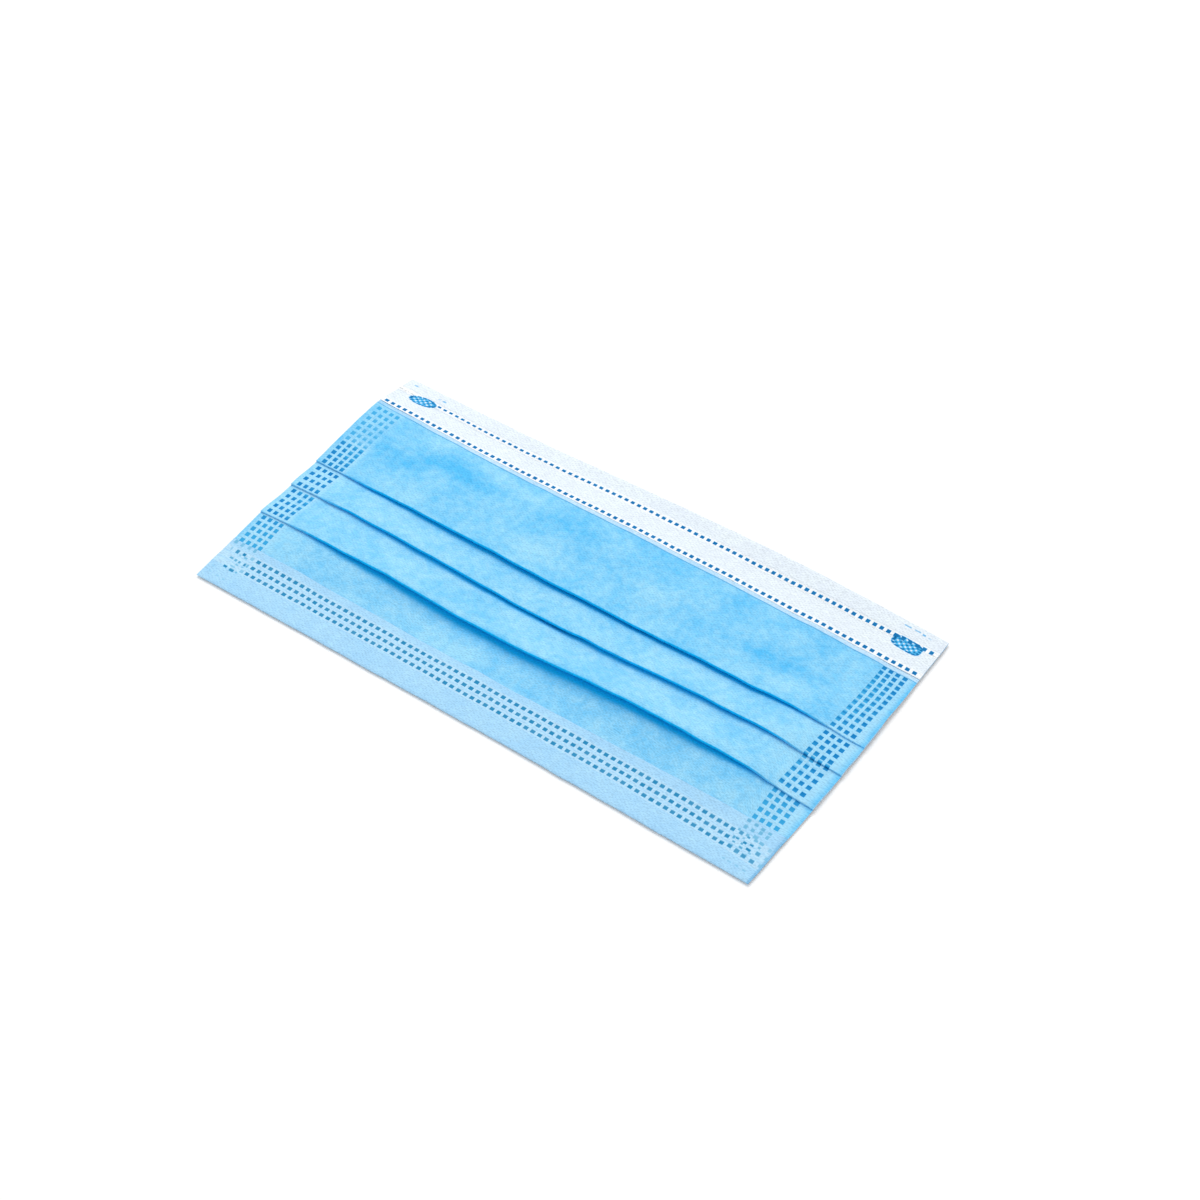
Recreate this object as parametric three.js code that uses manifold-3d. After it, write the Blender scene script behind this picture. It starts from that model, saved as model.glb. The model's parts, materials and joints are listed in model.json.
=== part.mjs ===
// A pleated surgical face mask lying face up on a flat surface, in millimetres with +Z up.
// X runs across the face, +Y points at the nose edge and the origin is the middle of its footprint.
// "Down" is a distance along the mask from its nose edge towards its chin edge.

import * as THREE from 'three';
import { mergeVertices } from 'three/addons/utils/BufferGeometryUtils.js';
import Module from 'manifold-3d';

const wasm = await Module();
wasm.setup();

// Outer size
const WIDTH = 175;
const HEIGHT = 92;

// Cloth: the three bonded plies are one wall, thicker where a fold is pressed onto itself
const WALL = 1.0;
const LIP = 1.4;
const GAP = 0.3;
const STEP = WALL + GAP;

// Pleats: where each fold edge lies and how high its lip sits above the surface at the side seams
const FOLDS = [
  { name: 'first', edge: 42.0, seat: 2 * STEP },
  { name: 'second', edge: 52.6, seat: 2 * STEP },
  { name: 'third', edge: 65.2, seat: STEP },
];
const FOLD_DEPTH = 9;
const SLOT_END = 1.0;
const HIDDEN_ROUND = 0.4;

// Rounded front of a lip, as shares of its length and of the lip's thickness
const NOSE_LENGTH = 0.6;
const NOSE = [
  { back: 0.25, height: 0.8 },
  { back: 0.0, height: 0.5 },
  { back: 0.25, height: 0.2 },
];

// How far each lip stands open across the face
const LIP_RISES = [
  { across: -87.5, first: 0.0, second: 0.0, third: 0.0 },
  { across: -75, first: 0.1, second: 0.1, third: 0.2 },
  { across: -48, first: 0.5, second: 0.5, third: 1.2 },
  { across: -10, first: 0.7, second: 0.3, third: 0.9 },
  { across: 34, first: 0.7, second: 0.8, third: 1.9 },
  { across: 62, first: 0.5, second: 0.6, third: 1.3 },
  { across: 77, first: 0.1, second: 0.1, third: 0.2 },
  { across: 87.5, first: 0.0, second: 0.0, third: 0.0 },
];

// Height of the top panel's underside above the surface, down the left edge, middle and right edge
const CROWN = [
  { down: 0, left: 0.0, middle: 0.7, right: 0.0 },
  { down: 6, left: 1.6, middle: 1.4, right: 0.2 },
  { down: 14, left: 3.4, middle: 2.5, right: 0.7 },
  { down: 23, left: 3.6, middle: 2.8, right: 1.1 },
  { down: 33, left: 2.3, middle: 2.0, right: 1.3 },
  { down: 42, left: 2.6, middle: 2.6, right: 2.6 },
];

// The inner ply turned over the nose edge, narrower on the left, and up over the chin edge
const BAND_LEFT = 13.8;
const BAND_RIGHT = 15.2;
const HEM = 16.2;
const HEM_BEVEL = 2.5;
const TURN_ROUND = 0.45;
const ARC_MIDDLE = 1 - Math.SQRT1_2;

// Pressed ovals where the ear loops are welded on
const WELD_LENGTH = 8.8;
const WELD_WIDTH = 4.0;
const WELD_DEPTH = 0.35;
const WELD_INSET = 8.4;
const WELD_DOWN = 6.9;
const WELD_UP = 10.5;
const WELD_SIDES = 28;
const SLOPE_REACH = 1.5;

// Fineness of the facets
const COLUMNS = 28;
const LONGEST_STEP = 4;
const BAND_STEPS = 5;

const BLUE = 0x6cc0f5;
const PALE_BLUE = 0xa9d6fb;
const WHITE = 0xeef3fd;

const lastFold = FOLDS.length;
const clothTop = WALL + GAP;
const clothBottom = HEIGHT - WALL - GAP;
const hiddenEnds = FOLDS.map((fold) => fold.edge - FOLD_DEPTH);

// A smooth curve through the rows of a table, giving all its named columns at one place
function curveThrough(rows, at, columns) {
  const positions = rows.map((row) => row[at]);
  const values = rows.flatMap((row) => columns.map((name) => row[name]));
  return new THREE.CubicInterpolant(positions, values, columns.length);
}

const crownCurve = curveThrough(CROWN, 'down', ['left', 'middle', 'right']);
const riseCurve = curveThrough(LIP_RISES, 'across', FOLDS.map((fold) => fold.name));

// Height of the top panel's underside: a parabola across the face through its three columns
function crown(down, x) {
  const [left, middle, right] = crownCurve.evaluate(down);
  const side = x / (WIDTH / 2);
  const slant = (right - left) / 2;
  const bend = (right + left) / 2 - middle;
  return middle + slant * side + bend * side * side;
}

function lipRise(fold, x) {
  return Math.max(0, riseCurve.evaluate(x)[fold]);
}

// Height of the underside of one panel. Panel 0 is the top one, and panel n starts under fold n
function underside(panel, down, x) {
  if (panel === 0) {
    const share = THREE.MathUtils.clamp((down - hiddenEnds[0]) / FOLD_DEPTH, 0, 1);
    return crown(down, x) + lipRise(0, x) * share * share;
  }
  const upper = FOLDS[panel - 1];
  const hidden = hiddenEnds[panel - 1];
  const laid = upper.seat - STEP;
  if (down < upper.edge) {
    const tucked = underside(panel - 1, hidden, x) - STEP;
    return THREE.MathUtils.lerp(tucked, laid, (down - hidden) / FOLD_DEPTH);
  }
  if (panel === lastFold) {
    return laid;
  }
  const lower = FOLDS[panel];
  const share = (down - upper.edge) / (lower.edge - upper.edge);
  return THREE.MathUtils.lerp(laid, lower.seat, share) + lipRise(panel, x) * share * share;
}

// A panel thickens towards its fold edge, where the turned-under cloth is pressed to it
function topside(panel, down, x) {
  let thickness = WALL;
  if (panel < lastFold) {
    const share = THREE.MathUtils.smoothstep(down, hiddenEnds[panel], FOLDS[panel].edge);
    thickness = THREE.MathUtils.lerp(WALL, LIP, share);
  }
  return underside(panel, down, x) + thickness;
}

// Places between the marks, none further apart than the longest step
function subdivide(marks) {
  const stops = [marks[0]];
  for (let i = 1; i < marks.length; i += 1) {
    const count = Math.ceil((marks[i] - marks[i - 1]) / LONGEST_STEP);
    for (let k = 1; k <= count; k += 1) {
      stops.push(THREE.MathUtils.lerp(marks[i - 1], marks[i], k / count));
    }
  }
  return stops;
}

// Places down one panel where its outline has points, from its hidden end to its own fold edge
function panelPlaces(panel) {
  const marks = [];
  if (panel === 0) {
    marks.push(clothTop);
  } else {
    const hidden = hiddenEnds[panel - 1];
    marks.push(hidden + HIDDEN_ROUND, hidden + SLOT_END, FOLDS[panel - 1].edge);
  }
  if (panel === lastFold) {
    marks.push(clothBottom);
  } else {
    marks.push(hiddenEnds[panel], hiddenEnds[panel] + SLOT_END, FOLDS[panel].edge - NOSE_LENGTH);
  }
  return subdivide(marks);
}

const places = Array.from({ length: lastFold + 1 }, (_, panel) => panelPlaces(panel));

// The pleated wall's outline at one place across the face: down its front, then up its back
function panelSection(x) {
  const outline = [];
  const add = (down, height) => outline.push([down, height]);
  for (let panel = 0; panel <= lastFold; panel += 1) {
    const slotAbove = panel === 0 ? 0 : hiddenEnds[panel - 1] + SLOT_END;
    const front = places[panel].filter((down) => down >= slotAbove);
    front.forEach((down) => add(down, topside(panel, down, x)));
    if (panel < lastFold) {
      const edge = FOLDS[panel].edge;
      const low = underside(panel, edge, x);
      NOSE.forEach((point) => add(edge - NOSE_LENGTH * point.back, low + LIP * point.height));
      const slotBelow = hiddenEnds[panel] + SLOT_END;
      const lip = places[panel].filter((down) => down >= slotBelow);
      lip.reverse().forEach((down) => add(down, underside(panel, down, x)));
    }
  }
  for (let panel = lastFold; panel >= 0; panel -= 1) {
    const end = panel < lastFold ? hiddenEnds[panel] : clothBottom;
    const back = places[panel].filter((down) => down <= end);
    back.reverse().forEach((down) => add(down, underside(panel, down, x)));
    if (panel > 0) {
      add(hiddenEnds[panel - 1], underside(panel, hiddenEnds[panel - 1], x) + HIDDEN_ROUND);
    }
  }
  return outline;
}

function bandReach(x) {
  return THREE.MathUtils.lerp(BAND_LEFT, BAND_RIGHT, x / WIDTH + 0.5);
}

// Three points round a corner, each given inward from it along the mask and in height
function roundCorner(down, height, inward, upward) {
  const middle = TURN_ROUND * ARC_MIDDLE;
  return [
    [down + inward * TURN_ROUND, height],
    [down + inward * middle, height + upward * middle],
    [down, height + upward * TURN_ROUND],
  ];
}

// The nose band: over the top panel's front, rounded at the nose edge, down to the panel's back
function bandSection(x) {
  const under = (down) => topside(0, Math.max(down, clothTop), x) + GAP;
  const floor = underside(0, 0, x);
  const downs = [];
  for (let k = 0; k <= BAND_STEPS; k += 1) {
    downs.push(THREE.MathUtils.lerp(WALL, bandReach(x), k / BAND_STEPS));
  }
  return [
    [WALL, floor],
    ...downs.map((down) => [down, under(down)]),
    ...downs.reverse().map((down) => [down, under(down) + WALL]),
    ...roundCorner(0, under(0) + WALL, 1, -1),
    ...roundCorner(0, floor, 1, 1).reverse(),
  ].reverse();
}

// The chin hem: over the last panel's front, bevelled where it ends and rounded at the chin edge
function hemSection() {
  const start = HEIGHT - HEM;
  const top = STEP + WALL;
  return [
    [start, STEP],
    [start, STEP + GAP],
    [start + HEM_BEVEL, top],
    ...roundCorner(HEIGHT, top, -1, -1),
    ...roundCorner(HEIGHT, 0, -1, 1).reverse(),
    [HEIGHT - WALL, 0],
    [HEIGHT - WALL, STEP],
  ];
}

// A closed solid through the sections at evenly spaced places across the face
function loft(section) {
  const rings = [];
  for (let i = 0; i <= COLUMNS; i += 1) {
    const x = THREE.MathUtils.lerp(-WIDTH / 2, WIDTH / 2, i / COLUMNS);
    rings.push(section(x).map(([down, height]) => new THREE.Vector3(x, HEIGHT / 2 - down, height)));
  }
  const count = rings[0].length;
  const faces = [];
  for (let i = 0; i < COLUMNS; i += 1) {
    const here = i * count;
    const beyond = here + count;
    for (let k = 0; k < count; k += 1) {
      const next = (k + 1) % count;
      faces.push(here + k, here + next, beyond + next);
      faces.push(here + k, beyond + next, beyond + k);
    }
  }
  for (const ring of [0, COLUMNS]) {
    const flat = rings[ring].map((point) => new THREE.Vector2(point.y, point.z));
    for (const triangle of THREE.ShapeUtils.triangulateShape(flat, [])) {
      const corners = triangle.map((corner) => ring * count + corner);
      faces.push(...(ring === 0 ? corners.reverse() : corners));
    }
  }
  const geometry = new THREE.BufferGeometry().setFromPoints(rings.flat());
  geometry.setIndex(faces);
  return geometry;
}

function toSolid(geometry) {
  const bare = geometry.clone();
  bare.deleteAttribute('normal');
  bare.deleteAttribute('uv');
  const merged = mergeVertices(bare);
  const vertProperties = new Float32Array(merged.attributes.position.array);
  const triVerts = new Uint32Array(merged.index.array);
  return new wasm.Manifold(new wasm.Mesh({ numProp: 3, vertProperties, triVerts }));
}

function fromSolid(solid) {
  const { vertProperties, triVerts } = solid.getMesh();
  const geometry = new THREE.BufferGeometry();
  geometry.setAttribute('position', new THREE.BufferAttribute(vertProperties, 3));
  geometry.setIndex(new THREE.BufferAttribute(triVerts, 1));
  return geometry;
}

// An oval press tool with a flat face, sunk square to the cloth at one place of a front surface
function weldTool(x, down, height) {
  const r = SLOPE_REACH;
  const spot = new THREE.Vector3(x, HEIGHT / 2 - down, height(down, x));
  const across = new THREE.Vector3(2 * r, 0, height(down, x + r) - height(down, x - r)).normalize();
  const up = new THREE.Vector3(0, 2 * r, height(down - r, x) - height(down + r, x));
  const normal = across.clone().cross(up).normalize();
  const tool = new THREE.CylinderGeometry(0.5, 0.5, 1, WELD_SIDES).rotateX(Math.PI / 2);
  tool.scale(WELD_LENGTH, WELD_WIDTH, 2 * WELD_LENGTH).translate(0, 0, WELD_LENGTH - WELD_DEPTH);
  const stance = new THREE.Matrix4().makeBasis(across, normal.clone().cross(across), normal);
  return tool.applyMatrix4(stance.setPosition(spot));
}

function pressWelds(geometry, down, height) {
  let solid = toSolid(geometry);
  for (const side of [-1, 1]) {
    solid = solid.subtract(toSolid(weldTool(side * (WIDTH / 2 - WELD_INSET), down, height)));
  }
  return fromSolid(solid);
}

function cloth(name, geometry, color) {
  const flat = geometry.toNonIndexed();
  flat.computeVertexNormals();
  const material = new THREE.MeshStandardMaterial({ color, roughness: 0.85, metalness: 0 });
  const mesh = new THREE.Mesh(flat, material);
  mesh.name = name;
  return mesh;
}

const bandFront = (down, x) => topside(0, down, x) + GAP + WALL;
const hemFront = () => STEP + WALL;

const mask = new THREE.Group();
mask.add(cloth('pleated_panel', loft(panelSection), BLUE));
mask.add(cloth('nose_band', pressWelds(loft(bandSection), WELD_DOWN, bandFront), WHITE));
mask.add(cloth('chin_hem', pressWelds(loft(hemSection), HEIGHT - WELD_UP, hemFront), PALE_BLUE));

export default mask;
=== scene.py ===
# The looks of a pleated surgical face mask lying face up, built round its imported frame.
# Places are in millimetres until a mesh is made. "Down" is a distance from the nose edge towards the
# chin edge, and "across" runs from the left edge to the right one with 0 in the middle.

import json
from math import ceil, cos, pi, radians, sin

import bpy
import numpy as np
from mathutils import Matrix, Vector


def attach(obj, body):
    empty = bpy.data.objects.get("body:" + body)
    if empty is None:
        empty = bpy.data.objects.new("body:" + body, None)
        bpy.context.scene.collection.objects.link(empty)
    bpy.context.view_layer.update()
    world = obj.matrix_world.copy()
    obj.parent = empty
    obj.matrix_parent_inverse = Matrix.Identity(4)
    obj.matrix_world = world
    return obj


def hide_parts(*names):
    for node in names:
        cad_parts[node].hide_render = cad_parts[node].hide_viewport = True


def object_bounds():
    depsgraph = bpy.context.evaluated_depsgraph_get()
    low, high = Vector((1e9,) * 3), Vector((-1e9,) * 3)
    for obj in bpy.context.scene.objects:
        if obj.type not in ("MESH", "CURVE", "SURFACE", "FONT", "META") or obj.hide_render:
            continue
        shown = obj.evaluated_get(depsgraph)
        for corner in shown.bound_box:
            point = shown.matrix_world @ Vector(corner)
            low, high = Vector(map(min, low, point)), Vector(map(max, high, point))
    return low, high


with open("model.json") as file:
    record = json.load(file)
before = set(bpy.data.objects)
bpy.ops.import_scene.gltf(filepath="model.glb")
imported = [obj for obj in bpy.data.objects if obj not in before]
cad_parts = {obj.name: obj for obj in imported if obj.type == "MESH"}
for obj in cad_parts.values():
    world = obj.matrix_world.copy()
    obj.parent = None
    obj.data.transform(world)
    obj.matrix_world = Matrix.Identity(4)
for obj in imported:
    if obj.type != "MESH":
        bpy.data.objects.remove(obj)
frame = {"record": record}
cad_low, cad_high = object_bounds()

MM = 0.001
WIDTH = round((cad_high.x - cad_low.x) / MM, 3)
HEIGHT = round((cad_high.y - cad_low.y) / MM, 3)
EDGE = WIDTH / 2

# Camera: where it stands round the mask, and the pixel of the frame that the mask's middle takes
AZIMUTH = 37.40
ELEVATION = 47.56
ROLL = -2.08
DISTANCE = 0.6761
LENS = 78.14
SENSOR = 36.0
FRAME_PIXELS = 1200
MIDDLE_PIXEL = (566.0, 610.6)

# Pleats: where each fold edge lies, how deep it is folded under, and the spacing of its cloth layers
FOLDS = (42.0, 52.6, 65.2)
FOLD_DEPTH = 9.0
LAYER = 0.42
TURN = LAYER / 2
LIP_DROOP = -0.08
HIDDEN = tuple(fold - FOLD_DEPTH for fold in FOLDS)
LAST_PANEL = len(FOLDS)

# Height of the middle of the cloth down the top panel, at five places across
ACROSS = (-EDGE, -45.0, 0.0, 45.0, EDGE)
TOP_HEIGHTS = {
    0.0: (0.45, 0.5, 1.7, 2.3, 0.6),
    6.0: (1.8, 0.9, 1.5, 1.6, 0.7),
    14.0: (3.5, 2.2, 2.4, 2.2, 0.8),
    22.0: (3.7, 2.9, 2.7, 2.5, 1.0),
    32.0: (3.1, 3.0, 2.6, 2.8, 1.2),
}

# Height of the middle of the cloth at each fold edge, and how far each pleat stands open under it
LIP_ACROSS = (-EDGE, -71.0, -47.5, -10.0, 32.5, 56.5, 72.5, 80.5, EDGE)
LIP_HEIGHTS = (
    (2.4, 3.1, 3.2, 2.8, 2.6, 3.1, 3.0, 1.9, 1.3),
    (2.4, 3.3, 3.2, 1.9, 3.2, 4.0, 3.4, 1.9, 1.2),
    (2.5, 3.9, 4.4, 2.8, 5.3, 5.0, 3.6, 2.0, 1.1),
)
LIP_OPENINGS = (
    (0.0, 0.1, 0.55, 0.75, 0.75, 0.5, 0.1, 0.0, 0.0),
    (0.0, 0.1, 0.4, 0.55, 0.5, 0.4, 0.1, 0.0, 0.0),
    (0.0, 0.1, 0.9, 1.3, 1.4, 0.9, 0.2, 0.0, 0.0),
)
CHIN_REST = 0.4
FLAT_FROM = 84.0
FLOOR_EASE = 0.25
LAYERS_EASE = 6.0

# Painted shade in deep blue under and over a lip: its reach when closed, what an opening adds, and the
# shares of its fade
UNDER_LIP_SHADE = (0.25, 0.7)
OVER_LIP_SHADE = (0.25, 0.25)
OVER_LIP_SHADE_SHARE = 0.6
SHADE_START = 0.1
SHADE_FADES = ((0.4, 1.0), (0.3, 2.5), (0.3, 5.0))
SHADE_AT_SEAMS = 0.45
SHADE_INSIDE = (9.0, 14.0)

# Painted shade along the cut edge on the right, and the paler block of cloth that carries the seam welds
CUT_SHADE_SPAN = (-1.1, 0.9)
CUT_SHADE_SHARE = {"body": 0.45, "hem": 0.8}
BLOCK_INNER = (-10.2, 1.2)
BLOCK_OUTER = (0.9, 0.9)
FAINT_ABOVE = 32.0
FAINT_FADE = 4.0
FAINT_LOSS = 0.6

# How far the cloth lies off its straight places, towards the chin edge, down the mask and across it
SWAY = {
    0.0: (0.0, 0.0, -0.4, -0.4, 0.0),
    6.0: (0.2, 0.5, 0.1, 0.3, 0.0),
    14.0: (0.2, 0.3, 0.1, 0.2, 0.0),
    30.0: (0.0, 0.0, 0.1, 0.0, 0.0),
    80.0: (0.0, 0.0, 0.0, 0.0, 0.0),
    92.0: (-0.5, -0.7, -0.75, -0.4, 0.2),
}

# The cut side edges bow out a little between the corners, and the right seam wanders
RIGHT_BOW = 0.8
LEFT_BOW = {0.0: 0.0, 30.0: 0.3, 50.0: 0.2, 62.0: 0.0, 74.0: 0.3, 84.0: 0.2, 92.0: 0.0}
BOW_REACH = 3.0
SEAM_WANDER = {10.0: 0.3, 22.0: 0.5, 38.0: 0.0, 58.0: -0.5, 92.0: -0.1}
SEAM_ZONE = (-16.0, 6.0)

# Waves of the cloth: the shortest and longest, how many, and how steep. Swell lifts it, drift shifts it.
SWELL_WAVES = (6.0, 30.0, 16, 0.0026)
DRIFT_WAVES = (5.0, 18.0, 8, 0.002)

# What share of the swell stays at the pressed edges, and from where over what reach the rest fades in
SWELL_KEPT = 0.15
SWELL_SIDE = (9.0, 8.0)
SWELL_NOSE = (8.0, 12.0)
SWELL_CHIN = (6.0, 14.0)

# The welded seams squeeze all layers thinner
SQUEEZE = 0.42
SQUEEZE_FROM = 13.5
SQUEEZE_REACH = 5.0

# Deeper blue (positive) and paler patches, one of them painted shade below the third lip: place from the
# left edge, place down, half sizes and strength
BLOTCHES = (
    (33.0, 24.0, 22.0, 3.2, 0.9),
    (18.0, 29.0, 12.0, 2.5, 0.5),
    (22.0, 17.0, 8.0, 2.0, -0.5),
    (40.0, 17.5, 7.0, 2.5, -0.4),
    (46.0, 14.5, 6.0, 2.0, 0.4),
    (56.0, 20.0, 6.0, 2.5, -0.4),
    (72.0, 24.0, 10.0, 3.0, 0.5),
    (66.0, 36.0, 12.0, 3.5, -0.6),
    (92.0, 16.5, 7.0, 2.5, 0.6),
    (84.0, 19.0, 4.0, 1.5, -0.4),
    (140.0, 31.5, 16.0, 2.5, 0.6),
    (142.0, 37.5, 14.0, 3.0, -0.5),
    (108.0, 30.0, 14.0, 5.0, -0.3),
    (118.0, 20.0, 12.0, 4.0, 0.3),
    (25.0, 38.0, 12.0, 3.0, -0.4),
    (34.0, 67.0, 10.0, 3.0, -0.3),
    # Painted shade: deeper blue just below the third lip, where its shadow falls
    (82.0, 67.5, 16.0, 2.8, 0.8),
    (76.0, 73.0, 7.0, 2.5, -0.6),
    (95.0, 73.5, 14.0, 2.5, 0.4),
    (138.0, 68.5, 22.0, 3.0, 0.4),
    (60.0, 61.5, 10.0, 2.5, 0.4),
)

# Painted light: how much paler each panel is painted, for how the light falls on it
PANEL_LIGHT_TONES = (0.0, -0.4, -0.4, -0.35)

# Each ply lies between two distances from the middle of the cloth, and a weld presses it thinner
OUTER_PLY = (0.02, 0.18)
INNER_PLY = (-0.18, -0.02)
STRIP_PLY = (0.19, 0.24)
BAND_PLY = (0.25, 0.35)
HEM_PLY = (0.20, 0.30)
PRESSED = 0.03
OUTER_PRESSED = 0.06

# The nose band and the pale strip that shows below it, and the hem turned up over the chin edge
BAND_LEFT = 13.8
BAND_RIGHT = 15.1
STRIP_SHOWS = 1.45
STRIP_TUCK = 3.8
HEM_START = 75.9
HEM_BEND = 6
# Painted shadow with a crease along the strip's lower edge: its width, fade and share
STRIP_CREASE_SHADE_WIDTH = 0.36
STRIP_CREASE_SHADE_FADE = 0.3
STRIP_CREASE_SHADE_SHARE = 0.7
STRIP_DEEPER_FROM = 55.0
STRIP_DEEPER_REACH = 30.0
PLY_END = 0.40
PLY_GAP = 0.05

# A turned ply's front is where its offset comes this near its highest
FRONT_SLACK = 0.01

# Welds: half their size, their soft rim, and the columns of the side seams counted from each edge
RIM = 0.12
FIRMNESS = (0.90, 1.0)
SEAM_HALF = (0.54, 0.60)
BAND_ROW_HALVES = ((0.50, (0.26, 0.52)), (0.50, (0.48, 0.50)))
HEM_HALF = (0.56, 0.50)
HALO = (0.85, 1.2)
LEFT_COLUMNS = (2.0, 4.1, 6.2, 8.2)
RIGHT_COLUMNS = (9.2, 7.2, 5.2, 3.1)

# How strongly seam welds are pressed, with faint ones at the upper left and fading ones near the chin
SEAM_FULL = 0.95
SEAM_FAINT = 0.45
SEAM_FAINT_ROWS = 7
CHIN_FIRST = 0.82
CHIN_LOSS = 0.06
HEM_STRENGTH = 0.95

# Rows of seam welds on each panel: how many, and the first and last row at the left and the right
SEAM_ROWS = (
    {"rows": 12, "left": (16.9, 41.0), "right": (16.9, 40.5), "bow": (-0.10, 0.14)},
    {"rows": 4, "left": (43.6, 51.4), "right": (43.6, 50.8), "bow": (0.0, 0.0)},
    {"rows": 5, "left": (53.9, 63.7), "right": (52.7, 63.0), "bow": (0.0, 0.0)},
    {"rows": 5, "left": (66.3, 75.1), "right": (65.8, 74.8), "bow": (0.0, 0.08)},
)

# Rows of welds across the nose band and the chin hem, each at the left and the right end
BAND_ROWS = ((5.3, 5.75), (12.8, 14.05))
HEM_ROWS = ((79.15, 81.7), (81.6, 84.15), (84.05, 86.6))
ROW_PITCH = 2.06
BAND_ROW_ENDS = (1.6, 2.1)
HEM_PITCH = 2.16
HEM_FROM = 10.85
HEM_TO = 163.15

# Single marks: place from the left edge, place down, half size across, half size down, and strength
BAND_MARKS = (
    (3.0, 1.9, 0.75, 0.25, 0.34),
    (11.8, 2.6, 0.4, 0.2, 0.22),
    (13.4, 2.6, 0.4, 0.25, 0.34),
    (163.6, 1.6, 0.95, 0.16, 0.36),
    (166.5, 1.6, 0.8, 0.16, 0.34),
    (168.5, 1.8, 0.45, 0.2, 0.42),
    (170.3, 2.0, 0.45, 0.16, 0.22),
)
HEM_MARKS_LEFT = (
    (1.25, 76.6, 0.4, 0.55, 0.6),
    (3.35, 76.5, 0.42, 0.7, 0.4),
    (5.6, 76.4, 0.42, 0.6, 0.4),
    (7.6, 76.6, 0.36, 0.55, 0.6),
    (1.7, 79.15, 0.2, 0.6, 0.3),
    (3.75, 79.15, 0.45, 0.6, 0.85),
    (5.95, 79.05, 0.45, 0.4, 1.0),
    (5.1, 79.8, 0.3, 0.25, 0.35),
    (7.0, 79.9, 0.45, 0.25, 0.55),
    (8.7, 79.15, 0.5, 0.5, 0.35),
    (3.75, 81.85, 0.5, 0.28, 0.7),
    (5.25, 81.85, 0.3, 0.35, 0.7),
    (6.5, 81.85, 0.28, 0.35, 0.75),
    (8.25, 81.85, 0.28, 0.45, 0.9),
    (9.1, 81.75, 0.25, 0.5, 0.6),
    (6.5, 83.0, 0.4, 0.22, 0.45),
    (8.25, 82.85, 0.3, 0.22, 0.4),
    (5.95, 84.15, 0.7, 0.3, 0.35),
    (9.1, 84.1, 0.5, 0.5, 0.35),
    (4.3, 85.25, 0.5, 0.35, 0.95),
    (6.5, 85.35, 0.65, 0.4, 0.9),
    (8.1, 85.25, 0.25, 0.25, 0.6),
    (1.6, 86.9, 0.35, 0.3, 0.22),
    (2.1, 88.9, 0.4, 0.25, 0.2),
    (4.75, 89.1, 0.45, 0.25, 0.26),
    (7.05, 89.3, 0.4, 0.28, 0.26),
)
HEM_MARKS_RIGHT = (
    (165.3, 76.65, 0.45, 0.45, 0.65),
    (167.45, 76.8, 0.45, 0.38, 0.65),
    (169.5, 77.0, 0.45, 0.36, 0.65),
    (171.55, 77.1, 0.42, 0.35, 0.6),
    (165.5, 78.6, 0.42, 0.45, 0.6),
    (167.5, 78.5, 0.42, 0.4, 0.6),
    (169.6, 78.15, 0.42, 0.5, 0.6),
    (171.6, 78.4, 0.38, 0.5, 0.5),
    (164.6, 80.0, 0.25, 0.3, 0.6),
    (165.6, 80.55, 0.5, 0.45, 0.8),
    (167.3, 80.35, 0.35, 0.35, 0.6),
    (167.9, 80.75, 0.35, 0.25, 0.8),
    (169.3, 79.85, 0.6, 0.45, 0.45),
    (169.95, 80.65, 0.45, 0.3, 0.6),
    (171.5, 80.6, 0.6, 0.35, 0.55),
    (173.9, 81.2, 0.35, 0.5, 0.3),
    (167.0, 81.55, 0.3, 0.2, 0.4),
    (171.7, 81.9, 0.3, 0.25, 0.6),
    (169.8, 82.2, 0.45, 0.25, 0.95),
    (164.8, 82.65, 0.3, 0.4, 0.75),
    (165.7, 82.4, 0.4, 0.25, 0.9),
    (168.0, 82.5, 0.45, 0.25, 0.95),
    (167.5, 83.1, 0.3, 0.3, 0.7),
    (165.5, 83.75, 0.35, 0.22, 0.75),
    (169.8, 83.7, 0.6, 0.3, 1.0),
    (172.3, 83.5, 0.5, 0.5, 0.75),
    (174.35, 83.7, 0.3, 0.45, 0.35),
    (167.9, 84.3, 0.45, 0.25, 0.75),
    (170.6, 84.5, 0.4, 0.3, 0.35),
    (165.4, 85.4, 0.56, 0.56, 0.85),
    (167.65, 85.7, 0.58, 0.56, 0.8),
    (169.8, 86.0, 0.58, 0.6, 0.85),
    (172.2, 86.2, 0.55, 0.58, 0.8),
    (174.3, 86.2, 0.35, 0.5, 0.35),
    (166.1, 89.25, 0.4, 0.25, 0.26),
    (167.75, 89.35, 0.5, 0.22, 0.26),
    (169.9, 89.35, 0.5, 0.25, 0.26),
    (172.1, 89.5, 0.45, 0.22, 0.3),
)
HEM_CORNERS = ((0.6, 9.9), (163.9, 174.8))

# Oval welds of the ear loops: shift from the mount, half size, tilt, and how square the outline is
OVALS = {
    "left": {"shift": (0.5, -0.5), "half": (4.5, 1.9), "tilt": -8.0, "power": 2.1},
    "right": {"shift": (0.0, 0.1), "half": (4.4, 2.1), "tilt": 4.0, "power": 3.2},
}
OVAL_PITCH = (1.85, 1.5)
OVAL_RIM = 0.42
OVAL_DASHES = 15
OVAL_SOFT = 0.16
OVAL_DASH = (-0.9, 0.5)
OVAL_SPOT = (0.12, 0.4)
OVAL_SPOT_SHARE = 0.92
OVAL_STREAK = (0.3, 0.4)
OVAL_STREAK_SHARE = 0.85
OVAL_ZONE = 4.9
ROW_STARTS_PAST_OVAL = 4.3

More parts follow.
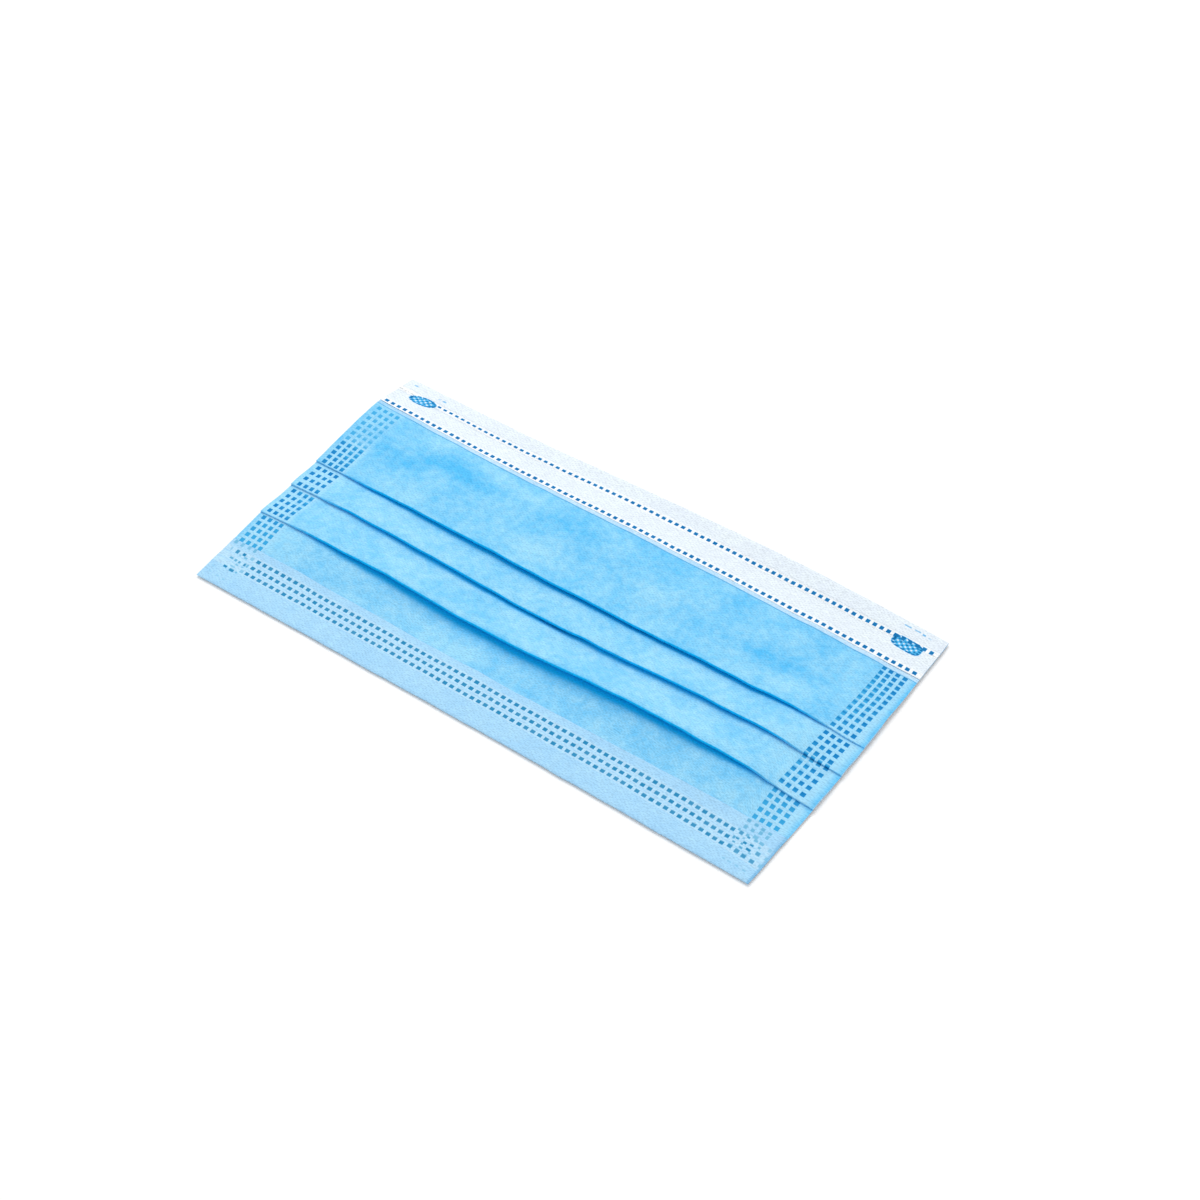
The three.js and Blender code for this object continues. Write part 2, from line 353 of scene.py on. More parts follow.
# How finely the meshes are divided, and the marks beside the cut edges
EDGE_MARK = 0.5
RIGHT_MARK = 1.6
CORNER_FINE = 0.16
HEM_FINE = 0.26
BAND_FINE_ZONES = ((10.0, 3.9), (3.0, 0.9))
LEAST_STEP = 0.04
LEAST_ACROSS = 0.03
LONGEST_ACROSS = 1.6
LONGEST_DOWN = 1.3
STRIP_ACROSS = 1.0
STRIP_DOWN = 0.35
HIDDEN_STEP = 1.5
TURN_STEPS = 8
SHARP_ANGLE = 60

# Light: the surround, the softbox, the floor's half side in metres, and how bright the cloth gets
SURROUND = 0.83
LAMP_PLACE = (-0.45, 0.7, 1.1)
LAMP_SIZE = 0.9
LAMP_POWER = 8.6
FLOOR_HALF = 4.0
LIGHT_LEVEL = 1.11

# Spunbond cloth. A noise is its scale, detail and roughness, and a range is where it rises from 0 to 1.
CLOUD_NOISE = (0.075, 3.0, 0.55)
CLOUD_RANGE = (0.36, 0.64)
PATCH_NOISE = (0.42, 3.0, 0.6)
PATCH_RANGE = (0.32, 0.68)
CLOUD_SHARE = 0.35
TONE_BASE = 0.2
TONE_SHARE = 0.5
PALE_SHARE = 0.75
FIBRE_ANGLES = (32.0, -41.0)
FIBRE_STRETCH = (0.5, 4.0, 1.0)
FIBRE_NOISE = (1.0, 3.0, 0.6)
SPECK_ANGLE = 20.0
SPECK_STRETCH = (1.0, 1.5, 1.0)
SPECK_NOISE = (1.5, 1.0, 0.5)
SPECK_SHARE = 0.8
BOND_PITCH = (1.3, 1.0)
BOND_RISE = (0.1, 0.8)
BOND_SHARE = 0.2
GRAIN_RANGE = (0.95, 1.72)
GRAIN_SHADE = (0.85, 1.12)
CLOTH_ROUGH = 0.82
FILM_ROUGH = 0.5
CLOTH_GLOSS = 0.06
BUMP_STRENGTH = 0.6
BUMP_DISTANCE = 0.00006

random = np.random.default_rng(20)


def smooth(share):
    share = np.clip(share, 0.0, 1.0)
    return share * share * (3.0 - 2.0 * share)


def ease(value, span):
    """A smooth rise from 0, where the span starts, to 1 after its reach."""
    start, reach = span
    return smooth((value - start) / reach)


def hermite(share, start, start_slope, end, end_slope):
    square = share * share
    cube = square * share
    return (
        start * (2 * cube - 3 * square + 1)
        + start_slope * (cube - 2 * square + share)
        + end * (3 * square - 2 * cube)
        + end_slope * (cube - square)
    )


def curve(places, values, at):
    """A smooth curve through a table, whose values may hold one column for each column of places."""
    places = np.asarray(places, float)
    values = np.asarray(values, float)
    slopes = np.gradient(values, places, axis=0)
    row = np.clip(np.searchsorted(places, at, side="right") - 1, 0, len(places) - 2)
    span = places[row + 1] - places[row]

    def pick(table, rows):
        return table[rows] if table.ndim == 1 else np.take_along_axis(table, rows, 0)

    share = np.clip((at - places[row]) / span, 0.0, 1.0)
    return hermite(
        share,
        pick(values, row),
        pick(slopes, row) * span,
        pick(values, row + 1),
        pick(slopes, row + 1) * span,
    )


def lip_height(fold, across):
    return curve(LIP_ACROSS, LIP_HEIGHTS[fold], across)


def lip_opening(fold, across):
    return np.maximum(curve(LIP_ACROSS, LIP_OPENINGS[fold], across), 0.0)


def top_height(down, across):
    rows = [curve(ACROSS, heights, across) for heights in TOP_HEIGHTS.values()]
    rows.append(lip_height(0, across))
    return curve([*TOP_HEIGHTS, FOLDS[0]], np.array(rows), down)


def squeezed(across):
    """What share of their thickness the layers keep, less at the welded seams."""
    return 1.0 - SQUEEZE * smooth((np.abs(across) - EDGE + SQUEEZE_FROM) / SQUEEZE_REACH)


def raised(height, least):
    """The height, eased up where it would come below the least one."""
    above = height - least
    return least + 0.5 * (above + np.hypot(above, FLOOR_EASE))


def least_height(panel, down, across):
    """How high a panel has to lie for the layers folded under it to clear the floor."""
    if panel == LAST_PANEL:
        return CHIN_REST
    share = np.clip((down - HIDDEN[panel]) / FOLD_DEPTH, 0.0, 1.0)
    layers = 2 * LAYER * squeezed(across) * smooth((down - HIDDEN[panel] + LAYERS_EASE) / LAYERS_EASE)
    return CHIN_REST + layers + lip_opening(panel, across) * share * share


def tucked_height(panel, down, across):
    """Height of the part of a panel that lies under the fold above it."""
    share = np.clip((down - HIDDEN[panel - 1]) / FOLD_DEPTH, 0.0, 1.0)
    drop = 2 * LAYER * squeezed(across) + lip_opening(panel - 1, across) * share * share
    return panel_height(panel - 1, down, across) - drop


def panel_height(panel, down, across):
    """Height of the middle of a panel's cloth. Panel 0 is on top, and panel n starts under fold n."""
    if panel == 0:
        return top_height(down, across)
    probe = 0.4
    upper = np.full_like(down, FOLDS[panel - 1])
    start = tucked_height(panel, upper, across)
    slope = (start - tucked_height(panel, upper - probe, across)) / probe
    if panel < LAST_PANEL:
        end_at, end, end_slope = FOLDS[panel], lip_height(panel, across), LIP_DROOP
    else:
        end_at, end, end_slope = FLAT_FROM, CHIN_REST, 0.0
    span = end_at - FOLDS[panel - 1]
    share = np.clip((down - upper) / span, 0.0, 1.0)
    shown = hermite(share, start, slope * span, end, end_slope * span)
    shown = raised(shown, least_height(panel, down, across))
    return np.where(down < upper, tucked_height(panel, down, across), shown)


def make_waves(shortest, longest, count, steepness):
    """Length, direction, phase and height of waves that lie over the whole mask."""
    waves = []
    for length in np.geomspace(shortest, longest, count):
        turn, phase = random.uniform(0.0, pi), random.uniform(0.0, 2 * pi)
        waves.append((length, turn, phase, steepness * length))
    return waves


def add_waves(waves, down, across):
    total = 0.0
    for length, turn, phase, size in waves:
        along = across * cos(turn) + down * sin(turn)
        total = total + size * np.sin(2 * pi * along / length + phase)
    return total


SWELL = make_waves(*SWELL_WAVES)
DRIFT_DOWN = make_waves(*DRIFT_WAVES)
DRIFT_ACROSS = make_waves(*DRIFT_WAVES)


def ripple(down, across):
    """Shallow waves, fading out at the pressed seams, the nose band and the hem."""
    height = add_waves(SWELL, down, across)
    sides = ease(EDGE - np.abs(across), SWELL_SIDE)
    ends = ease(down, SWELL_NOSE) * ease(HEIGHT - down, SWELL_CHIN)
    return height * sides * (SWELL_KEPT + (1.0 - SWELL_KEPT) * ends)


def fill(marks, longest):
    """The marks, with more between them where they lie further apart than the longest step."""
    marks = np.asarray(marks, float)
    filled = [marks[0]]
    for before, after in zip(marks[:-1], marks[1:]):
        count = max(1, ceil(np.max(np.abs(after - before)) / longest - 1e-6))
        filled += [before + (after - before) * step / count for step in range(1, count + 1)]
    return np.array(filled)


def edges(centre, half):
    """Where a weld's soft rim starts, where it is fully pressed, and the same beyond its middle."""
    return [centre - half - RIM, centre - half, centre + half, centre + half + RIM]


def spread(first, last, count, bow=0.0):
    """Evenly spaced places, closer together at one end if a bow is given."""
    share = np.linspace(0.0, 1.0, count)
    return first + (last - first) * (share + bow * share * (share - 1.0))


def seam_columns():
    left = [-EDGE + place for place in LEFT_COLUMNS]
    right = [EDGE - place for place in RIGHT_COLUMNS]
    return left, right


def seam_rows(panel):
    """Each row of seam welds on a panel as its place at the left and at the right."""
    table = SEAM_ROWS[panel]
    left = spread(*table["left"], table["rows"], table["bow"][0])
    right = spread(*table["right"], table["rows"], table["bow"][1])
    return np.stack([left, right], axis=1)


def seam_strength(panel, row, side):
    """How strongly the seam welds of a row are pressed."""
    if panel == 0 and side == "left" and row < SEAM_FAINT_ROWS:
        return SEAM_FAINT
    if panel == LAST_PANEL:
        return CHIN_FIRST - CHIN_LOSS * row
    return SEAM_FULL


def weld(across, down, half, strength):
    """One weld, pressed more or less firmly, as a worn press wheel leaves it."""
    firmness = random.uniform(*FIRMNESS)
    return across, down, half[0], half[1], strength * firmness


def seam_welds(panel):
    welds = []
    for row, places in enumerate(seam_rows(panel)):
        for side, columns in zip(("left", "right"), seam_columns()):
            strength = seam_strength(panel, row, side)
            for column in columns:
                down = places[0 if side == "left" else 1]
                welds.append(weld(column, down, SEAM_HALF, strength))
    return welds


def pressed(down, across, welds):
    """How deep each place is pressed by the welds, from 0 to 1."""
    depth = np.zeros_like(down)
    for weld_across, weld_down, half_across, half_down, strength in welds:
        side = np.clip((half_across + RIM - np.abs(across - weld_across)) / RIM, 0.0, 1.0)
        near = np.flatnonzero(side)
        if len(near) == 0:
            continue
        block = down[:, near]
        end = np.clip((half_down + RIM - np.abs(block - weld_down)) / RIM, 0.0, 1.0)
        depth[:, near] = np.maximum(depth[:, near], strength * end * side[near])
    return depth


def slanted(marks, across, bend=1):
    """Places down that run from their left value to their right one, straight or bending late."""
    share = np.clip(across / WIDTH + 0.5, 0.0, 1.0) ** bend
    return marks[:, :1] + (marks[:, 1:] - marks[:, :1]) * share


def same(values):
    """Marks that are alike at the left and at the right."""
    values = np.asarray(values, float)
    return np.stack([values, values], axis=1)


def panel_marks(panel):
    """Marks down a panel, from where its cloth starts to where its fold turns."""
    start = PLY_END + PLY_GAP if panel == 0 else HIDDEN[panel - 1] + TURN
    end = HEIGHT - PLY_END - PLY_GAP if panel == LAST_PANEL else FOLDS[panel] - TURN
    rows = seam_rows(panel)
    marks = [same([start])]
    if panel > 0:
        hidden = np.arange(start + HIDDEN_STEP, rows[0].min() - 1.0, HIDDEN_STEP)
        marks.append(same(hidden))
    for row in rows:
        marks.append(np.stack(edges(row, SEAM_HALF[1])))
    marks.append(same([end]))
    return fill(np.concatenate(marks), LONGEST_DOWN)


def across_marks():
    left, right = seam_columns()
    marks = [-EDGE, -EDGE + EDGE_MARK]
    for column in [*left, *right]:
        marks += edges(column, SEAM_HALF[0])
    marks += [EDGE - RIGHT_MARK, EDGE - EDGE_MARK, EDGE]
    return fill(marks, LONGEST_ACROSS)


def folded_path(across):
    """Down, height, strength of the painted fold shade, and painted light tone of the middle of the cloth
    along its folded path.
    """
    downs, heights, fold_shades, panel_light_tones = [], [], [], []

    def add(down, height, depth):
        downs.append(down)
        heights.append(height)
        fold_shades.append(np.broadcast_to(depth, down.shape))
        # Each panel's painted light tone
        panel_light_tones.append(np.full_like(down, PANEL_LIGHT_TONES[panel]))

    radius = TURN * squeezed(across)
    turns = [pi / 2 - pi * step / TURN_STEPS for step in range(1, TURN_STEPS)]
    for panel in range(LAST_PANEL + 1):
        down = slanted(panel_marks(panel), across)
        add(down, panel_height(panel, down, across), fold_shade(panel, down, across))
        if panel == LAST_PANEL:
            continue
        lip = np.full((1, len(across)), FOLDS[panel] - TURN)
        lip_top = panel_height(panel, lip, across)
        # The rounded lip and the back folded under it take the full painted fold shade
        for turn in turns:
            add(lip + radius * cos(turn), lip_top - radius + radius * sin(turn), 1.0)
        back = fill([FOLDS[panel] - TURN, HIDDEN[panel] + TURN], HIDDEN_STEP)
        back = slanted(same(back), across)
        back_height = panel_height(panel, back, across) - 2 * radius
        add(back, back_height, 1.0)
        for turn in turns:
            add(back[-1:] - radius * cos(turn), back_height[-1:] - radius + radius * sin(turn), 1.0)
    down = np.concatenate(downs)
    height = np.concatenate(heights)
    return down, height + ripple(down, across), np.concatenate(fold_shades), np.concatenate(panel_light_tones)


def fold_shade(panel, down, across):
    """Strength of the painted shade: 1 under the fold above, fading below it, and rising again over the
    rounding of the next fold.
    """
    depth = np.zeros_like(down)
    if panel > 0:
        reach = UNDER_LIP_SHADE[0] + UNDER_LIP_SHADE[1] * lip_opening(panel - 1, across)
        below = down - FOLDS[panel - 1] - SHADE_START
        for weight, widening in SHADE_FADES:
            depth += weight * (1.0 - smooth(below / reach / widening))
    if panel < LAST_PANEL:
        reach = OVER_LIP_SHADE[0] + OVER_LIP_SHADE[1] * lip_opening(panel, across)
        depth += OVER_LIP_SHADE_SHARE * smooth((down - FOLDS[panel] + reach) / reach)
    return np.minimum(depth, 1.0)


def cut_edge_shade(across):
    """Strength of the painted shade: 1 at the cut edge on the right and 0 away from it."""
    return ease(across - EDGE, CUT_SHADE_SPAN)


def blotches(down, across):
    """Where the cloth is deeper blue or paler in broad patches, from -1 to 1."""
    tone = np.zeros_like(down)
    place = across + EDGE
    for middle, depth, half_along, half_down, strength in BLOTCHES:
        reach = ((place - middle) / half_along) ** 2 + ((down - depth) / half_down) ** 2
        tone += strength * np.exp(-reach)
    return np.clip(tone, -1.0, 1.0)


def swayed(down, across):
    """Down, with the small shifts of the cloth off its straight places."""
    rows = np.array([curve(ACROSS, shifts, across) for shifts in SWAY.values()])
    shift = curve([*SWAY], rows, np.clip(down, 0.0, HEIGHT))
    return down + shift + add_waves(DRIFT_DOWN, down, across)


def bowed(down, across):
    """Across, with the cut side edges bowed out between the corners and the right seam wandering."""
    belly = np.sin(pi * np.clip(down / HEIGHT, 0.0, 1.0))
    right = RIGHT_BOW * belly * smooth((across - EDGE + BOW_REACH) / BOW_REACH)
    left = curve([*LEFT_BOW], [*LEFT_BOW.values()], np.clip(down, 0.0, HEIGHT))
    left = left * smooth((-across - EDGE + BOW_REACH) / BOW_REACH)
    seam = ease(across - EDGE, SEAM_ZONE) * smooth((EDGE - across) / BOW_REACH)
    wander = curve([*SEAM_WANDER], [*SEAM_WANDER.values()], np.clip(down, min(SEAM_WANDER), HEIGHT))
    drift = add_waves(DRIFT_ACROSS, down, across)
    return across + right - left + seam * wander + drift


def ply_faces(across, down, height, low, high):
    """Both faces of a ply between two distances from its path, and the length along the path."""
    back = HEIGHT / 2 - swayed(down, across)
    step = np.hypot(np.diff(back, axis=0), np.diff(height, axis=0))
    step = np.maximum(step, 1e-6)
    lean = np.stack([np.diff(back, axis=0), np.diff(height, axis=0)]) / step
    before = np.concatenate([lean[:, :1], lean], axis=1)
    after = np.concatenate([lean, lean[:, -1:]], axis=1)
    near = np.concatenate([step[:1], step])
    far = np.concatenate([step, step[-1:]])
    tangent = (before * far + after * near) / (near + far)
    tangent /= np.maximum(np.hypot(tangent[0], tangent[1]), 1e-6)
    normal_back, normal_up = tangent[1], -tangent[0]
    length = np.concatenate([np.zeros((1, down.shape[1])), np.cumsum(step, axis=0)])
    low_face = (back + normal_back * low, height + normal_up * low)
    high_face = (back + normal_back * high, height + normal_up * high)
    return low_face, high_face, length


def grid_quads(rows, columns):
    """Faces of a closed sheet whose upper grid of points comes first and its lower one second."""
    upper = np.arange(rows * columns).reshape(rows, columns)
    lower = upper + rows * columns
    faces = []
    for grid, order in ((upper, (0, 3, 2, 1)), (lower, (0, 1, 2, 3))):
        corners = (grid[:-1, :-1], grid[:-1, 1:], grid[1:, 1:], grid[1:, :-1])
        faces.append(np.stack([corners[k].ravel() for k in order], axis=1))
    for up, under in (
        (upper[0], lower[0]),
        (upper[-1, ::-1], lower[-1, ::-1]),
        (upper[::-1, 0], lower[::-1, 0]),
        (upper[:, -1], lower[:, -1]),
    ):
        faces.append(np.stack([up[:-1], up[1:], under[1:], under[:-1]], axis=1))
    return np.concatenate(faces)


def build_ply(name, across, down, height, low, high, fields, material):
    """A closed thin sheet of cloth that rides with the mask. Fields are values for its material."""
    keep = squeezed(across)
    low_face, high_face, length = ply_faces(across, down, height, low * keep, high * keep)
    x = bowed(down, across)
    upper = np.stack([x, *high_face], axis=2).reshape(-1, 3)
    lower = np.stack([x, *low_face], axis=2).reshape(-1, 3)
    mesh = bpy.data.meshes.new(name)
    quads = grid_quads(*down.shape)
    mesh.from_pydata((np.concatenate([upper, lower]) * MM).tolist(), [], quads.tolist())
    for field, values in fields.items():
        layer = mesh.attributes.new(field, "FLOAT", "POINT")
        values = np.broadcast_to(values, down.shape).ravel()
        layer.data.foreach_set("value", np.tile(values, 2).astype(np.float32))
    places = np.stack([np.broadcast_to(across, down.shape), length, np.zeros(down.shape)], axis=2)
    layer = mesh.attributes.new("cloth", "FLOAT_VECTOR", "POINT")
    layer.data.foreach_set("vector", np.tile(places.ravel(), 2).astype(np.float32))
    mesh.materials.append(material)
    mesh.shade_smooth()
    mesh.set_sharp_from_angle(angle=radians(SHARP_ANGLE))
    piece = bpy.data.objects.new(name, mesh)
    bpy.context.scene.collection.objects.link(piece)
    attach(piece, "root")
    return piece


def linear(red, green, blue):
    """The shader colour that shows as this colour from 0 to 255 under the studio light."""
    values = np.array([red, green, blue]) / 255.0
    values = np.where(values <= 0.04045, values / 12.92, ((values + 0.055) / 1.055) ** 2.4)
    return (*(values / LIGHT_LEVEL), 1.0)


BODY_LIGHT = linear(158, 221, 252)
BODY_DEEP = linear(88, 192, 248)
# Painted shade colour for under and over the lips
BODY_FOLD_SHADE = linear(12, 182, 250)
BODY_PALE = linear(172, 224, 251)
SEAM_WELD = linear(60, 172, 228)
SEAM_WELD_DARK = linear(0, 124, 196)
WHITE = linear(235, 245, 251)
WHITE_DEEP = linear(226, 236, 248)
BAND_WELD = linear(70, 175, 232)
BAND_WELD_DARK = linear(0, 112, 176)
FILM = linear(84, 190, 244)
HALO_WHITE = linear(252, 254, 255)
STRIP_LIGHT = linear(206, 233, 253)
STRIP_DEEP = linear(164, 214, 249)
# Painted shadow and crease colour along the strip's lower edge
STRIP_CREASE_SHADE = linear(104, 188, 238)
HEM_LIGHT = linear(176, 223, 252)
HEM_DEEP = linear(160, 212, 250)
HEM_PALE = linear(190, 228, 252)
# Painted shade colour along the hem's right cut edge
HEM_EDGE_SHADE = linear(128, 190, 232)
HEM_WELD = linear(122, 192, 228)
HEM_WELD_DARK = linear(28, 136, 188)


class Tree:
    """Adds nodes to a material, each fed with values or with other nodes' outputs."""

    def __init__(self, name):
        self.material = bpy.data.materials.new(name)
        self.material.use_nodes = True
        self.nodes = self.material.node_tree.nodes
        self.links = self.material.node_tree.links
        self.shader = self.nodes["Principled BSDF"]

    def feed(self, socket, value):
        if isinstance(value, bpy.types.NodeSocket):
            self.links.new(value, socket)
        else:
            socket.default_value = value

    def add(self, kind, feeds, output=0, **settings):
        node = self.nodes.new(kind)
        for key, value in settings.items():
            setattr(node, key, value)
        for key, value in feeds.items():
            self.feed(node.inputs[key], value)
        return node.outputs[output]

    def math(self, operation, a, b=0.0):
        return self.add("ShaderNodeMath", {0: a, 1: b}, operation=operation)

    def mix(self, factor, a, b):
        return self.add("ShaderNodeMix", {0: factor, 6: a, 7: b}, 2, data_type="RGBA")

    def span(self, value, low, high, to_low=0.0, to_high=1.0):
        feeds = {"Value": value, "From Min": low, "From Max": high}
        feeds.update({"To Min": to_low, "To Max": to_high})
        return self.add("ShaderNodeMapRange", feeds, interpolation_type="SMOOTHSTEP")

    def attribute(self, name, output="Fac"):
        node = self.nodes.new("ShaderNodeAttribute")
        node.attribute_name = name
        return node.outputs[output]

    def noise(self, place, scale, detail=2.0, roughness=0.5):
        feeds = {"Vector": place, "Scale": scale, "Detail": detail, "Roughness": roughness}
        return self.add("ShaderNodeTexNoise", feeds)

    def turned(self, place, angle, stretch):
        feeds = {"Vector": place, "Rotation": (0.0, 0.0, radians(angle)), "Scale": stretch}
        return self.add("ShaderNodeMapping", feeds)


def bond_points(tree, place):
    """The staggered points where the spunbond fibres are melted together, 1 in each point's middle."""
    parts = tree.nodes.new("ShaderNodeSeparateXYZ")
    tree.feed(parts.inputs[0], place)
    across = tree.math("COSINE", tree.math("MULTIPLY", parts.outputs[0], 2 * pi / BOND_PITCH[0]))
    down = tree.math("COSINE", tree.math("MULTIPLY", parts.outputs[1], 2 * pi / BOND_PITCH[1]))
    return tree.span(tree.math("MULTIPLY", across, down), *BOND_RISE)


def fibres(tree, place):
    """Fine fibres lying in two main directions."""
    turned = [tree.turned(place, angle, FIBRE_STRETCH) for angle in FIBRE_ANGLES]
    return tree.math("ADD", *(tree.noise(direction, *FIBRE_NOISE) for direction in turned))


def nonwoven(name, light, deep, weld_colour, weld_dark, fold=None, pale=None):
    """Spunbond cloth: cloudy colour, fibres, bond points, and welds pressed to a smoother film."""
    tree = Tree(name)
    place = tree.attribute("cloth", "Vector")
    clouds = tree.span(tree.noise(place, *CLOUD_NOISE), *CLOUD_RANGE)
    patches = tree.span(tree.noise(place, *PATCH_NOISE), *PATCH_RANGE)
    clouds = tree.math("MULTIPLY", clouds, CLOUD_SHARE)
    patches = tree.math("MULTIPLY", patches, CLOUD_SHARE)
    tone = tree.math("ADD", tree.math("ADD", clouds, patches), TONE_BASE)
    deeper = tree.math("MULTIPLY", tree.attribute("tone"), TONE_SHARE)
    colour = tree.mix(tree.math("SUBTRACT", tone, deeper), deep, light)
    if pale is not None:
        colour = tree.mix(tree.math("MULTIPLY", tree.attribute("pale"), PALE_SHARE), colour, pale)
    # The fold colour is painted shade on the blue ply and the chin hem, and the oval film on the nose
    # band
    if fold is not None:
        colour = tree.mix(tree.span(tree.attribute("deep"), 0.0, 1.0), colour, fold)
    specks = tree.noise(tree.turned(place, SPECK_ANGLE, SPECK_STRETCH), *SPECK_NOISE)
    strands = tree.math("ADD", fibres(tree, place), tree.math("MULTIPLY", specks, SPECK_SHARE))
    points = tree.math("MULTIPLY", bond_points(tree, place), BOND_SHARE)
    grain = tree.math("SUBTRACT", strands, points)
    shade = tree.span(grain, *GRAIN_RANGE, *GRAIN_SHADE)
    tinted = tree.add("ShaderNodeVectorMath", {0: colour, 3: shade}, operation="SCALE")
    weld_field = tree.attribute("weld")
    half_way = tree.mix(tree.span(weld_field, 0.0, 0.5), tinted, weld_colour)
    tree.feed(
        tree.shader.inputs["Base Color"],
        tree.mix(tree.span(weld_field, 0.5, 1.0), half_way, weld_dark),
    )
    roughness = tree.span(weld_field, 0.0, 1.0, CLOTH_ROUGH, FILM_ROUGH)
    tree.feed(tree.shader.inputs["Roughness"], roughness)
    bump = {"Strength": BUMP_STRENGTH, "Distance": BUMP_DISTANCE, "Height": grain}
    tree.feed(tree.shader.inputs["Normal"], tree.add("ShaderNodeBump", bump))
    tree.shader.inputs["Specular IOR Level"].default_value = CLOTH_GLOSS
    return tree.material


def floor_material():
    tree = Tree("studio_floor")
    tint = tree.noise(tree.add("ShaderNodeNewGeometry", {}), 6.0)
    colour = tree.mix(tint, (0.93, 0.93, 0.935, 1.0), (0.95, 0.95, 0.95, 1.0))
    tree.feed(tree.shader.inputs["Base Color"], colour)
    tree.shader.inputs["Roughness"].default_value = 0.7
    return tree.material


def place_camera():
    """The camera at the photograph's angle, with the mask's middle on its own pixel of the frame."""
    azimuth, elevation, roll = (radians(angle) for angle in (AZIMUTH, ELEVATION, ROLL))
    back = Vector((sin(azimuth) * cos(elevation), -cos(azimuth) * cos(elevation), sin(elevation)))
    level = Vector((cos(azimuth), sin(azimuth), 0.0))
    upright = back.cross(level)
    right = level * cos(roll) + upright * sin(roll)
    up = upright * cos(roll) - level * sin(roll)
    per_pixel = DISTANCE * SENSOR / LENS / FRAME_PIXELS
    aside = (MIDDLE_PIXEL[0] - FRAME_PIXELS / 2) * per_pixel
    above = (FRAME_PIXELS / 2 - MIDDLE_PIXEL[1]) * per_pixel
    data = bpy.data.cameras.new("camera")
    data.lens = LENS
    data.sensor_width = SENSOR
    camera = bpy.data.objects.new("camera", data)
    turn = Matrix((right, up, back)).transposed()
    place = back * DISTANCE - right * aside - up * above
    camera.matrix_world = Matrix.Translation(place) @ turn.to_4x4()
    bpy.context.scene.collection.objects.link(camera)
    bpy.context.scene.camera = camera


def place_light():
    """A white surround, and one broad soft light from behind the nose edge."""
    world = bpy.data.worlds.new("studio")
    world.use_nodes = True
    world.node_tree.nodes["Background"].inputs["Color"].default_value = (1.0, 1.0, 1.0, 1.0)
    world.node_tree.nodes["Background"].inputs["Strength"].default_value = SURROUND
    bpy.context.scene.world = world
    bpy.context.scene.view_settings.view_transform = "Standard"
    data = bpy.data.lights.new("softbox", "AREA")
    data.shape = "DISK"
    data.size = LAMP_SIZE
    data.energy = LAMP_POWER
    lamp = bpy.data.objects.new("softbox", data)
    lamp.location = LAMP_PLACE
    lamp.rotation_euler = (-lamp.location).to_track_quat("-Z", "Y").to_euler()
    bpy.context.scene.collection.objects.link(lamp)


def place_floor():
    mesh = bpy.data.meshes.new("floor")
    corners = [(x * FLOOR_HALF, y * FLOOR_HALF, 0.0) for x, y in ((-1, -1), (1, -1), (1, 1), (-1, 1))]
    mesh.from_pydata(corners, [], [(0, 1, 2, 3)])
    mesh.materials.append(floor_material())
    floor = bpy.data.objects.new("floor", mesh)
    bpy.context.scene.collection.objects.link(floor)


def body_fields(down, across, depth, tone):
    """Values for the blue ply's material: painted shade at the lips and the right cut edge, toned by
    patches and painted panel light, pale at the seams.
    """
    from_edge = EDGE - np.abs(across)
    lip_shade = SHADE_AT_SEAMS + (1.0 - SHADE_AT_SEAMS) * ease(from_edge, SHADE_INSIDE)
    block = ease(-from_edge, BLOCK_INNER) * ease(from_edge, BLOCK_OUTER)
    faint = np.where(across < 0, smooth((FAINT_ABOVE - down) / FAINT_FADE), 0.0)
    return {
        # Painted shade under and over the lips and along the right cut edge
        "deep": np.maximum(depth * lip_shade, CUT_SHADE_SHARE["body"] * cut_edge_shade(across)),
        # Patches, one of them painted shade, and each panel's painted light tone
        "tone": blotches(down, across) + tone,
        "pale": block * (1.0 - FAINT_LOSS * faint),
    }


def build_body_plies():
    """The blue outer ply and the white inner one, folded together and welded along the side seams."""
    across = across_marks()
    down, height, depth, tone = folded_path(across)
    fields = body_fields(down, across, depth, tone)
    welds = [spot for panel in range(LAST_PANEL + 1) for spot in seam_welds(panel)]
    field = pressed(down, across, welds)
    outer_low, outer_high = OUTER_PLY
    inner_low, inner_high = INNER_PLY
    blue = nonwoven(
        "blue_spunbond", BODY_LIGHT, BODY_DEEP, SEAM_WELD, SEAM_WELD_DARK, BODY_FOLD_SHADE, BODY_PALE
    )
    white = nonwoven("white_inner_spunbond", WHITE, WHITE_DEEP, WHITE_DEEP, WHITE_DEEP)
    outer = build_ply(
        "outer_ply", across, down, height,
        outer_low, outer_high - (outer_high - OUTER_PRESSED) * field, {"weld": field, **fields}, blue,
    )
    inner = build_ply(
        "inner_ply", across, down, height,
        inner_low + (-inner_low - OUTER_PRESSED) * field, inner_high, {"weld": field}, white,
    )
    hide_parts("pleated_panel")


def oval_middle(side):
    """Middle of an upper oval weld, from the record's mount."""
    mount = next(m for m in frame["record"]["mounts"] if m["name"] == "loop_weld_upper_" + side)
    x, y, _ = mount["pos_m"]
    shift = OVALS[side]["shift"]
    return x / MM + shift[0], HEIGHT / 2 - y / MM + shift[1]


